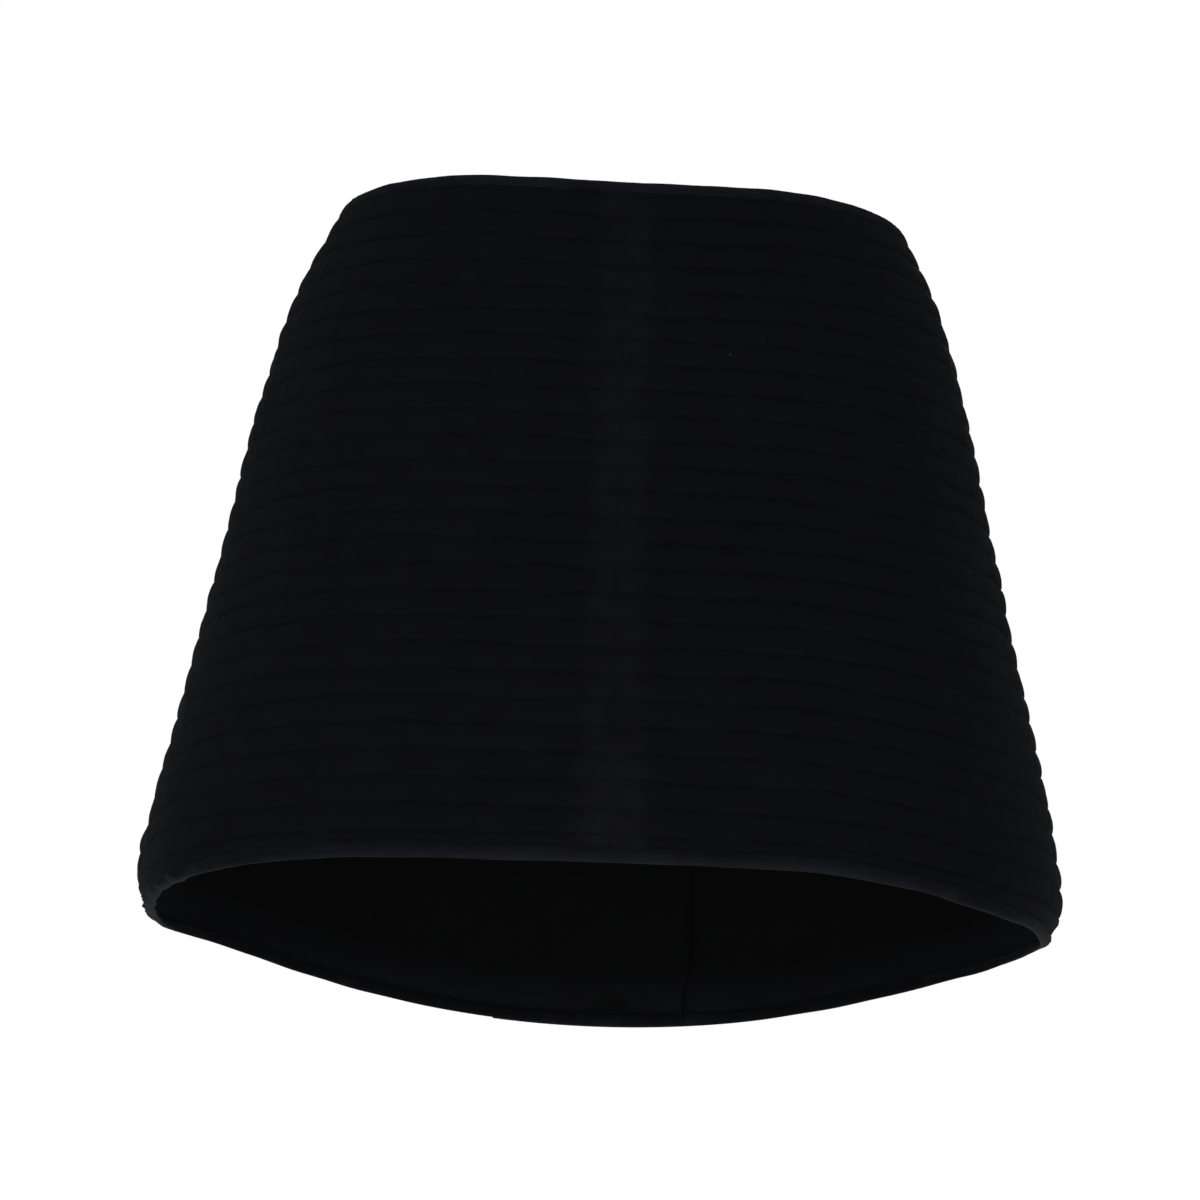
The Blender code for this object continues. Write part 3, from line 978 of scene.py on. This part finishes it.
def make_cloth_material(name, dark, light, inside_shade, lint, roughness, sheen, weave_pitch):
    """Painted shade and light: dark in the grooves and light on the crests, with a painted sheen on
    the pressed strips and painted shade on the inner face. Lint is the share of places without a
    speck.
    """
    make = Shading(name)
    shader = make.shader
    shader.inputs["Sheen Weight"].default_value = sheen
    shader.inputs["Sheen Roughness"].default_value = 0.42
    shader.inputs["Sheen Tint"].default_value = colour(0.80, 0.86, 1.0)
    shader.inputs["Specular IOR Level"].default_value = 0.06

    place = make.node("ShaderNodeTexCoord").outputs["Object"]
    cloth = make.node("ShaderNodeUVMap", uv_map="cloth").outputs["UV"]
    split = make.node("ShaderNodeSeparateXYZ")
    make.set(split.inputs["Vector"], cloth)

    # a plain weave of fine yarns, with slubs along them
    yarns = 2 * math.pi / weave_pitch
    warp = make.maths("SINE", make.maths("MULTIPLY", split.outputs["X"], yarns))
    weft = make.maths("SINE", make.maths("MULTIPLY", split.outputs["Y"], yarns))
    weave = make.maths("MULTIPLY", warp, weft)
    fuzz = make.noise(place, 2400)
    slub = make.noise(cloth, 260, 3.0, (0.30, 2.4, 1.0))
    crinkle = make.noise(cloth, 150, 4.0, (1.6, 0.7, 1.0))
    patch = make.noise(place, 12)
    cloud = make.noise(place, 48, 4.0)

    # painted shade: grooves darken in broken stretches, and crests are painted lighter
    broken = make.maths("MULTIPLY_ADD", make.noise(cloth, 42, 3.0, (1.0, 0.7, 1.0)), 3.6, -1.1,
                        clamp=True)
    groove = make.maths("SUBTRACT", 1.0, make.attribute("crest"))
    tone = make.maths("MULTIPLY_ADD", make.maths("MULTIPLY", groove, broken), -0.36, 0.32)
    # painted sheen: the pressed strips are painted lighter, in patches
    pressed_sheen = make.maths("MULTIPLY", make.attribute("pressed_sheen"),
                         make.maths("MULTIPLY_ADD", make.noise(place, 75), 1.6, -0.45))
    tone = make.maths("MULTIPLY_ADD", pressed_sheen, 0.50, tone)
    for layer, share in ((patch, 0.40), (cloud, 0.30), (crinkle, 0.26), (slub, 0.20),
                         (weave, 0.05)):
        tone = make.maths("MULTIPLY_ADD", layer, share, tone)
    tone = make.maths("SUBTRACT", tone, 0.46, clamp=True)
    base = make.blend(tone, colour(*dark), colour(*light))
    # painted shade: the inner face takes the darker inside colour
    base = make.blend(make.attribute("inside_shade"), base, colour(*inside_shade))
    hue = make.maths("MULTIPLY_ADD", make.noise(place, 85, 2.0), 3.2, -1.1, clamp=True)
    tint = make.blend(hue, colour(0.93, 1.05, 0.97), colour(1.10, 0.96, 1.05))
    base = make.blend(1.0, base, tint, "MULTIPLY")

    # a few specks of lint
    cells = make.node("ShaderNodeTexVoronoi")
    cells.inputs["Scale"].default_value = 62
    make.set(cells.inputs["Vector"], place)
    near = make.maths("LESS_THAN", cells.outputs["Distance"], 0.030)
    chance = make.node("ShaderNodeSeparateColor")
    make.set(chance.inputs["Color"], cells.outputs["Color"])
    rare = make.maths("GREATER_THAN", chance.outputs["Red"], lint)
    make.set(shader.inputs["Base Color"], make.blend(
        make.maths("MULTIPLY", near, rare), base, colour(0.045, 0.047, 0.052)))

    rough = make.maths("MULTIPLY_ADD", cloud, 0.12, roughness - 0.06)
    rough = make.maths("MULTIPLY_ADD", make.attribute("pressed_sheen"), -0.12, rough)
    make.set(shader.inputs["Roughness"], rough)
    relief = make.maths("MULTIPLY_ADD", weave, 0.00005, make.maths("MULTIPLY", fuzz, 0.00010))
    relief = make.maths("MULTIPLY_ADD", slub, 0.00012, relief)
    make.bump(make.maths("MULTIPLY_ADD", crinkle, 0.00045, relief))
    return make.material


def make_thread_material():
    make = Shading("thread")
    place = make.node("ShaderNodeTexCoord").outputs["Object"]
    twist = make.noise(place, 5000, 2.0)
    make.set(make.shader.inputs["Base Color"],
             make.blend(twist, colour(0.0026, 0.0030, 0.0040), colour(0.0058, 0.0066, 0.0086)))
    make.shader.inputs["Roughness"].default_value = 0.65
    make.shader.inputs["Specular IOR Level"].default_value = 0.12
    make.bump(make.maths("MULTIPLY", twist, 0.00004))
    return make.material


def make_floor_material():
    """An even pale glow, brighter far away, where it meets the white surround."""
    make = Shading("floor_white")
    place = make.node("ShaderNodeTexCoord").outputs["Object"]
    length = make.node("ShaderNodeVectorMath", operation="LENGTH")
    make.set(length.inputs[0], place)
    spread = make.node("ShaderNodeMapRange", interpolation_type="SMOOTHSTEP")
    make.set(spread.inputs["Value"], length.outputs["Value"])
    for socket, value in (("From Min", FLOOR_NEAR), ("From Max", FLOOR_FAR),
                          ("To Min", FLOOR_SEEN - FLOOR_GLOW), ("To Max", 1.0 - FLOOR_GLOW)):
        spread.inputs[socket].default_value = value
    seen = make.node("ShaderNodeLightPath").outputs["Is Camera Ray"]
    make.shader.inputs["Emission Color"].default_value = colour(1.0, 1.0, 1.0)
    make.set(make.shader.inputs["Emission Strength"],
             make.maths("MULTIPLY_ADD", spread.outputs["Result"], seen, FLOOR_GLOW))
    make.set(make.shader.inputs["Base Color"],
             make.blend(make.noise(place, 3.0), colour(0.02, 0.02, 0.02), colour(0.03, 0.03, 0.03)))
    make.shader.inputs["Roughness"].default_value = 0.9
    make.shader.inputs["Specular IOR Level"].default_value = 0.0
    return make.material


# ---------------------------------------------------------------- camera, floor and light
PHOTO_SIDE = 1200
PHOTO_FOCAL = 4233.4          # pixels
SENSOR = 36.0
CAMERA_PLACE = (-0.0044, -1.9461, -0.6149)
CAMERA_TURN = -1.3            # round the skirt, in degrees
CAMERA_PITCH = 12.534
CAMERA_ROLL = 2.0
FLOOR_DROP = 1.30
FLOOR_SIDE = 30.0
FLOOR_NEAR = 1.2              # from here the floor brightens
FLOOR_FAR = 6.0               # to here
FLOOR_GLOW = 0.60             # what lights the skirt from below
FLOOR_SEEN = 0.80             # how bright the camera sees the floor below the skirt
SURROUND_SEEN = 1.0           # how bright the camera sees the surround
SURROUND_GLOW = 0.20          # and what it lights the skirt with
LIGHT_TARGET = (0.0, 0.0, -0.18)

AreaLight = namedtuple("AreaLight", "name place size power")
LIGHTS = (
    AreaLight("key", (-1.1, -2.3, 0.25), (1.2, 1.2), 7),
    AreaLight("fill", (-0.3, -2.2, -0.80), (2.6, 0.42), 19),
    AreaLight("rim", (0.2, 2.1, 0.9), (1.2, 1.2), 14),
    AreaLight("back", (0.0, 2.4, -0.35), (2.2, 0.8), 9),
)


def make_camera():
    data = bpy.data.cameras.new("camera")
    data.sensor_width = SENSOR
    data.lens = PHOTO_FOCAL / PHOTO_SIDE * SENSOR
    camera = add_object("camera", data)
    orbit = Matrix.Rotation(math.radians(CAMERA_TURN), 4, "Z")
    pitch = Matrix.Rotation(math.radians(90 + CAMERA_PITCH), 4, "X")
    roll = Matrix.Rotation(math.radians(CAMERA_ROLL), 4, "Z")
    camera.matrix_world = orbit @ Matrix.Translation(CAMERA_PLACE) @ pitch @ roll
    bpy.context.scene.camera = camera


def make_floor():
    bpy.ops.mesh.primitive_plane_add(size=2 * FLOOR_SIDE, location=(0, 0, -FLOOR_DROP))
    floor = bpy.context.object
    floor.name = "floor"
    floor.data.materials.append(make_floor_material())


def make_light(settings):
    data = bpy.data.lights.new(settings.name, "AREA")
    data.shape = "RECTANGLE"
    data.size, data.size_y = settings.size
    data.energy = settings.power
    light = add_object(settings.name, data)
    light.location = settings.place
    towards = Vector(LIGHT_TARGET) - Vector(settings.place)
    light.rotation_mode = "QUATERNION"
    light.rotation_quaternion = towards.to_track_quat("-Z", "Y")
    light.visible_camera = False


def make_world():
    """A white surround for the camera, which lights the skirt only softly."""
    world = bpy.data.worlds.new("studio")
    bpy.context.scene.world = world
    world.use_nodes = True
    tree = world.node_tree
    shown = tree.nodes["Background"]
    shown.inputs["Color"].default_value = colour(1.0, 1.0, 1.0)
    shown.inputs["Strength"].default_value = SURROUND_SEEN
    dim = tree.nodes.new("ShaderNodeBackground")
    dim.inputs["Color"].default_value = colour(0.96, 0.98, 1.0)
    dim.inputs["Strength"].default_value = SURROUND_GLOW
    path = tree.nodes.new("ShaderNodeLightPath")
    mix = tree.nodes.new("ShaderNodeMixShader")
    tree.links.new(path.outputs["Is Camera Ray"], mix.inputs["Fac"])
    tree.links.new(dim.outputs["Background"], mix.inputs[1])
    tree.links.new(shown.outputs["Background"], mix.inputs[2])
    tree.links.new(mix.outputs["Shader"], tree.nodes["World Output"].inputs["Surface"])


bpy.context.scene.view_settings.view_transform = "Standard"
bpy.context.scene.view_settings.look = "None"
make_camera()
make_floor()
make_world()
for settings in LIGHTS:
    make_light(settings)

CLOTH = make_cloth_material(
    "ribbed_cloth", dark=(0.0024, 0.0028, 0.0037), light=(0.0057, 0.0066, 0.0087),
    inside_shade=(0.0024, 0.0025, 0.0026), lint=0.986, roughness=0.88, sheen=0.015, weave_pitch=0.00050)
BINDING = make_cloth_material(
    "binding_cloth", dark=(0.0028, 0.0033, 0.0043), light=(0.0128, 0.0146, 0.0190),
    inside_shade=(0.0036, 0.0038, 0.0045), lint=0.990, roughness=0.82, sheen=0.03, weave_pitch=0.00044)
THREAD = make_thread_material()


def finish_piece(piece, material):
    piece.data.materials.append(material)
    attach(piece, "root")


cloths = {}
stitches = {}
for panel in PANELS:
    cloths[panel.node] = make_panel(panel)
    finish_piece(cloths[panel.node], CLOTH)
    rows = quilting_rows(panel)
    if not panel.ends_in_seam:
        rows.append(free_edge_row(panel))
    stitches[panel.node] = make_stitches(panel.node + "_quilting", rows)
    finish_piece(stitches[panel.node], THREAD)

for band in BANDS:
    cloths[band.node] = make_band(band)
    finish_piece(cloths[band.node], BINDING)
    stitches[band.node] = make_stitches(band.node + "_topstitch", [edge_row(band)])
    finish_piece(stitches[band.node], THREAD)
